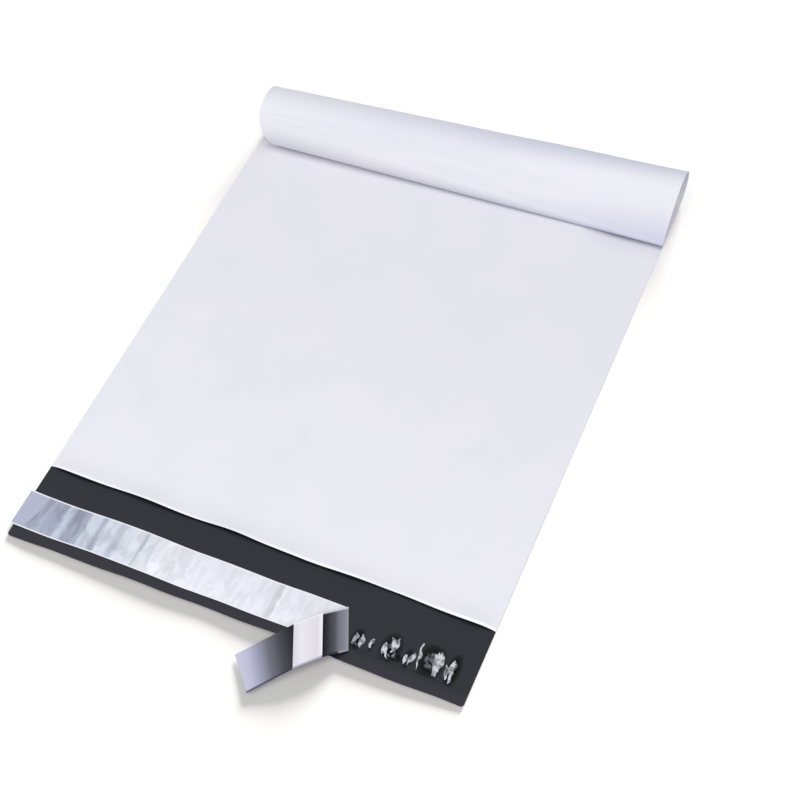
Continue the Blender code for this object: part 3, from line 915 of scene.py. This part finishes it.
def lying_liner():
    """Siliconised film liner lying on the glue: glossy and milky, and grey where the glue wets it.

    Wet bands about a centimetre wide lie across it, most at the left, with smoky streaks 4 mm wide
    and 12 mm long in them. The left end, up to a curved line, has lifted off and is an even lavender
    grey. Both slit edges are brighter over half a millimetre.
    """
    material, add = new_material("siliconised_film_on_glue")
    laid = add("ShaderNodeUVMap", uv_map="liner")
    along, across, _ = add("ShaderNodeSeparateXYZ", {"Vector": laid}).outputs
    smoke_scale = add("ShaderNodeMapping", {"Vector": laid, "Scale": (58.0, 1.9, 1.0)})
    smoke = add(
        "ShaderNodeTexNoise",
        {"Vector": smoke_scale, "Scale": 1.0, "Detail": 4.0, "Distortion": 0.7},
    )
    shove = add("ShaderNodeMapRange", {"Value": smoke, "To Min": -0.004, "To Max": 0.004})
    frayed = add("ShaderNodeMath", {0: along, 1: shove}, operation="ADD")
    wet = "#979CAE"
    streak = "#A4AAB8"
    damp = "#C3CAD7"
    dry = "#D0D5E0"
    cloudy = "#D6DAE1"
    pale = "#E4E6ED"
    bands = add(
        "ShaderNodeValToRGB",
        {"Fac": frayed},
        stops={
            0.000: wet, 0.060: "#A2A8BA", 0.092: "#989DAF", 0.098: "#B6BECE", 0.107: "#B2BACB",
            0.115: "#969BAC", 0.147: "#9CA1B2", 0.149: damp, 0.170: damp, 0.175: streak,
            0.182: streak, 0.186: "#CCD2DF", 0.209: "#CAD0DD", 0.214: "#B4BAC7", 0.226: "#B6BCC9",
            0.230: dry, 0.270: "#D8DCE6", 0.2715: "#B0B4BF", 0.277: "#C3C7D1", 0.281: cloudy,
            0.304: cloudy, 0.308: "#E9EBF2", 0.336: "#E6E9EF", 0.342: "#DBDEE3", 0.350: "#DBDEE3",
            0.362: pale, 0.568: pale, 0.573: "#CECFD7", 0.583: "#D0D1D8", 0.586: "#F3F3F7",
            0.590: pale,
        },
    )
    streaks = add(
        "ShaderNodeMapRange", {"Value": smoke, "From Min": 0.40, "From Max": 0.60, "To Min": -1.0}
    )
    fading = add(
        "ShaderNodeMapRange",
        {"Value": along, "From Min": 0.12, "From Max": 0.40, "To Min": 0.150, "To Max": 0.060},
    )
    lighter = add("ShaderNodeMath", {0: streaks, 1: fading, 2: 1.0}, operation="MULTIPLY_ADD")
    towards_front = add("ShaderNodeMapRange", {"Value": across, "To Min": 1.09, "To Max": 0.98})
    graded = add("ShaderNodeMath", {0: lighter, 1: towards_front}, operation="MULTIPLY")
    smoky = add("ShaderNodeVectorMath", {0: bands, "Scale": graded}, operation="SCALE")
    down = add("ShaderNodeMath", {0: 1.0, 1: across}, operation="SUBTRACT")
    curve = add("ShaderNodeMath", {0: down, 1: 1.6}, operation="POWER")
    lifted_to = add("ShaderNodeMapRange", {"Value": curve, "To Min": 0.047, "To Max": 0.027})
    past_line = add("ShaderNodeMath", {0: along, 1: lifted_to}, operation="SUBTRACT")
    stuck = add("ShaderNodeMapRange", {"Value": past_line, "From Min": -0.0008, "From Max": 0.0008})
    ended = add("ShaderNodeMix", {0: stuck, 6: linear("#B1B5CB"), 7: smoky}, data_type="RGBA")
    from_line = add("ShaderNodeMath", {0: past_line}, operation="ABSOLUTE")
    shade = add("ShaderNodeMapRange", {"Value": from_line, "From Max": 0.0030, "To Min": 0.74})
    lined = add("ShaderNodeVectorMath", {0: ended, "Scale": shade}, operation="SCALE")
    from_middle = add("ShaderNodeMath", {0: across, 1: 0.5}, operation="SUBTRACT")
    sideways = add("ShaderNodeMath", {0: from_middle}, operation="ABSOLUTE")
    slit = add("ShaderNodeMapRange", {"Value": sideways, "From Min": 0.462, "From Max": 0.478})
    edged = add("ShaderNodeMix", {0: slit, 6: lined, 7: linear("#F1F2F7")}, data_type="RGBA")
    pucker = add("ShaderNodeBump", {"Height": smoke, "Strength": 0.2, "Distance": 0.001})
    shader = add(
        "ShaderNodeBsdfPrincipled",
        {"Base Color": edged, "Normal": pucker, "Roughness": 0.22, "IOR": 1.49},
    )
    add("ShaderNodeOutputMaterial", {"Surface": shader})
    return material


def peeled_liner():
    """The same film peeled and creased: its shiny side goes from smoke grey at a crease to silver.

    The tones follow its length, facet by facet, as painted shade and painted reflection of its
    bends. Its far slit edge has a painted highlight and its near one painted shade. Its scuffs are
    about 4 by 7 mm.
    """
    material, add = new_material("siliconised_film_peeled")
    laid = add("ShaderNodeUVMap", uv_map="liner")
    along, across, _ = add("ShaderNodeSeparateXYZ", {"Vector": laid}).outputs
    slant = add("ShaderNodeMath", {0: across, 1: -0.018, 2: along}, operation="MULTIPLY_ADD")
    full_length = 0.24
    reach = add(
        "ShaderNodeMapRange", {"Value": slant, "From Min": 1.0, "From Max": 1.0 + full_length}
    )
    straight = add(
        "ShaderNodeMapRange", {"Value": along, "From Min": 1.0, "From Max": 1.0 + full_length}
    )
    unit = full_length * BAG_WIDTH
    rise_end = (PEEL_RADIUS * PEEL_TURN + RISE_LENGTH) / unit
    level_end = rise_end + (CREASE_RADIUS * CREST_TURN + CREST_LENGTH) / unit
    # Painted shade and painted reflection along the facets: dark before the first crease, white on
    # the level facet, and dark to pale on the hanging end.
    facets = add(
        "ShaderNodeValToRGB",
        {"Fac": straight},
        stops={
            0.0: "#C2C2C9", rise_end * 0.12: "#B4B4BC", rise_end * 0.20: "#8D8E99",
            rise_end * 0.50: "#6E6F79", rise_end * 0.56: "#53545E", rise_end * 0.82: "#2C2D35",
            rise_end * 0.95: "#08070A", rise_end * 0.99: "#08070A", rise_end: "#F3F1F7",
            rise_end + 0.04: "#DEDBE4", level_end - 0.06: "#E9E6ED", level_end - 0.004: "#DBD7E1",
            level_end: "#F3F1F7",
        },
    )
    hanging = add(
        "ShaderNodeValToRGB",
        {"Fac": reach},
        stops={
            level_end - 0.04: "#1B1A25", level_end + 0.06: "#44444B", level_end + 0.16: "#6C6E7A",
            level_end + 0.25: "#9C9FB3", level_end + 0.33: "#BEBFD4", 0.98: "#D1CFE2",
        },
    )
    over_dip = add("ShaderNodeMath", {0: straight, 1: level_end}, operation="GREATER_THAN")
    coloured = add("ShaderNodeMix", {0: over_dip, 6: facets, 7: hanging}, data_type="RGBA")
    # Painted highlight along the far slit edge, before the dip.
    far_edge = add(
        "ShaderNodeMapRange",
        {"Value": across, "From Min": 0.950, "From Max": 0.970, "To Max": 0.65},
    )
    before_dip = add("ShaderNodeMath", {0: 1.0, 1: over_dip}, operation="SUBTRACT")
    lit_edge = add("ShaderNodeMath", {0: far_edge, 1: before_dip}, operation="MULTIPLY")
    lit = add("ShaderNodeMix", {0: lit_edge, 6: coloured, 7: linear("#F1F2F7")}, data_type="RGBA")
    # Painted shade along the near slit edge.
    shaded = add(
        "ShaderNodeValToRGB",
        {"Fac": straight},
        stops={
            0.0: "#A0A0AB", rise_end * 0.45: "#1A1A22", rise_end: "#A5A3B8", level_end: "#35354C",
        },
    )
    shaded.color_ramp.interpolation = "CONSTANT"
    near_edge = add(
        "ShaderNodeMapRange",
        {"Value": across, "From Min": 0.055, "From Max": 0.030, "To Max": 0.85},
    )
    edged = add("ShaderNodeMix", {0: near_edge, 6: lit, 7: shaded}, data_type="RGBA")
    scuff_scale = add("ShaderNodeMapping", {"Vector": laid, "Scale": (60.0, 3.0, 1.0)})
    scuff = add("ShaderNodeTexNoise", {"Vector": scuff_scale, "Scale": 1.0, "Detail": 3.0})
    pucker = add("ShaderNodeBump", {"Height": scuff, "Strength": 0.12, "Distance": 0.001})
    shader = add(
        "ShaderNodeBsdfPrincipled",
        {
            "Base Color": edged,
            "Normal": pucker,
            "Roughness": 0.30,
            "Specular IOR Level": 0.25,
            "IOR": 1.40,
        },
    )
    add("ShaderNodeOutputMaterial", {"Surface": shader})
    return material


liner = add_piece("release_liner_strip", liner_mesh(), [lying_liner(), peeled_liner()])
liner_wall = liner.modifiers.new("liner_wall", "SOLIDIFY")
liner_wall.thickness = LINER_WALL
liner_wall.offset = 1.0
bake_modifiers(liner)
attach(liner, "root")
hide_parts("release_liner")

# Floor
# A plain white studio table, wide enough to fill every view. It has its own low lamp, which lights
# nothing else, so that the flap and the peeled liner throw a soft shadow on the table before them.
FLOOR_SIZE = 8.0
FLOOR_GAP = 0.0002
FLOOR_LAMP_SHARE = 0.48
FLOOR_ALBEDO = 0.555
FLOOR_TINT = (1.01, 1.0, 0.985)
FLOOR_LAMP_ELEVATION = math.radians(22)
FLOOR_LAMP_SPREAD = math.radians(23)

floor_paint, add_to_floor = new_material("white_studio_floor")
floor_colour = [FLOOR_ALBEDO * tint for tint in FLOOR_TINT] + [1.0]
floor_shader = add_to_floor(
    "ShaderNodeBsdfPrincipled",
    {"Base Color": floor_colour, "Roughness": 1.0, "Specular IOR Level": 0.0},
)
add_to_floor("ShaderNodeOutputMaterial", {"Surface": floor_shader})
floor_grid = bmesh.new()
bmesh.ops.create_grid(floor_grid, x_segments=1, y_segments=1, size=FLOOR_SIZE / 2)
bmesh.ops.translate(floor_grid, vec=(0.0, 0.0, -FLOOR_GAP), verts=floor_grid.verts)
floor = add_piece("studio_floor", floor_grid, [floor_paint])


def direction(azimuth, elevation):
    """The way from the bag to a lamp or the camera: azimuth 0 is in front, and 90 at the right."""
    level = math.cos(elevation)
    return Vector((math.sin(azimuth) * level, -math.cos(azimuth) * level, math.sin(elevation)))


def add_sun(name, azimuth, elevation, spread, share):
    """A lamp at infinity, giving level ground this share of the light that makes white white."""
    lamp = bpy.data.lights.new(name, "SUN")
    lamp.angle = spread
    lamp.energy = math.pi * share / math.sin(elevation)
    stand = bpy.data.objects.new(name, lamp)
    stand.rotation_euler = direction(azimuth, elevation).to_track_quat("Z", "Y").to_euler()
    bpy.context.scene.collection.objects.link(stand)
    return stand


floor_lamp_share = FLOOR_LAMP_SHARE / FLOOR_ALBEDO
floor_lamp = add_sun(
    "floor_lamp", math.pi, FLOOR_LAMP_ELEVATION, FLOOR_LAMP_SPREAD, floor_lamp_share
)
only_floor = bpy.data.collections.new("only_floor")
only_floor.objects.link(floor)
floor_lamp.light_linking.receiver_collection = only_floor

# Lights
# A wide softbox beside the camera and a plain white room, which the camera and the gloss see as
# white.
ROOM_LIGHT = 0.42
ROOM_SEEN = 1.06  # by the camera and the gloss: enough to make the tint white
ROOM_TINT = (0.96, 0.98, 1.06, 1.0)
SOFTBOX_SHARE = 0.60
SOFTBOX_TINT = (1.01, 1.0, 0.965)
SOFTBOX_AZIMUTH = math.radians(8)
SOFTBOX_ELEVATION = math.radians(66)
SOFTBOX_SPREAD = math.radians(45)

world = bpy.data.worlds.new("white_room")
bpy.context.scene.world = world
world.use_nodes = True
world.node_tree.nodes.clear()
add_to_room = functools.partial(add_node, world.node_tree)
ray = add_to_room("ShaderNodeLightPath")
seen = add_to_room(
    "ShaderNodeMath",
    {0: ray.outputs["Is Camera Ray"], 1: ray.outputs["Is Glossy Ray"]},
    operation="ADD",
)
seen_through = add_to_room(
    "ShaderNodeMath",
    {0: seen, 1: ray.outputs["Is Transmission Ray"]},
    operation="ADD",
    use_clamp=True,
)
strength = add_to_room(
    "ShaderNodeMapRange", {"Value": seen_through, "To Min": ROOM_LIGHT, "To Max": ROOM_SEEN}
)
sky = add_to_room("ShaderNodeBackground", {"Color": ROOM_TINT, "Strength": strength})
add_to_room("ShaderNodeOutputWorld", {"Surface": sky})
softbox = add_sun("softbox", SOFTBOX_AZIMUTH, SOFTBOX_ELEVATION, SOFTBOX_SPREAD, SOFTBOX_SHARE)
softbox.data.color = SOFTBOX_TINT

# Camera
# Fitted to the photograph by eight points of the bag. It looks down from the front right with a
# long lens, and has no roll.
CAMERA_AZIMUTH = math.radians(22.76)
CAMERA_ELEVATION = math.radians(54.57)
CAMERA_DISTANCE = 0.918
CAMERA_TARGET = Vector((0.0272, -0.0043, 0.0))
CAMERA_LENS = 76.5
CAMERA_SENSOR = 36.0

back = direction(CAMERA_AZIMUTH, CAMERA_ELEVATION)
lens = bpy.data.cameras.new("photo_camera")
lens.lens = CAMERA_LENS
lens.sensor_width = CAMERA_SENSOR
camera = bpy.data.objects.new("photo_camera", lens)
camera.location = CAMERA_TARGET + back * CAMERA_DISTANCE
camera.rotation_euler = (-back).to_track_quat("-Z", "Y").to_euler()
bpy.context.scene.collection.objects.link(camera)
bpy.context.scene.camera = camera
bpy.context.scene.view_settings.view_transform = "Standard"
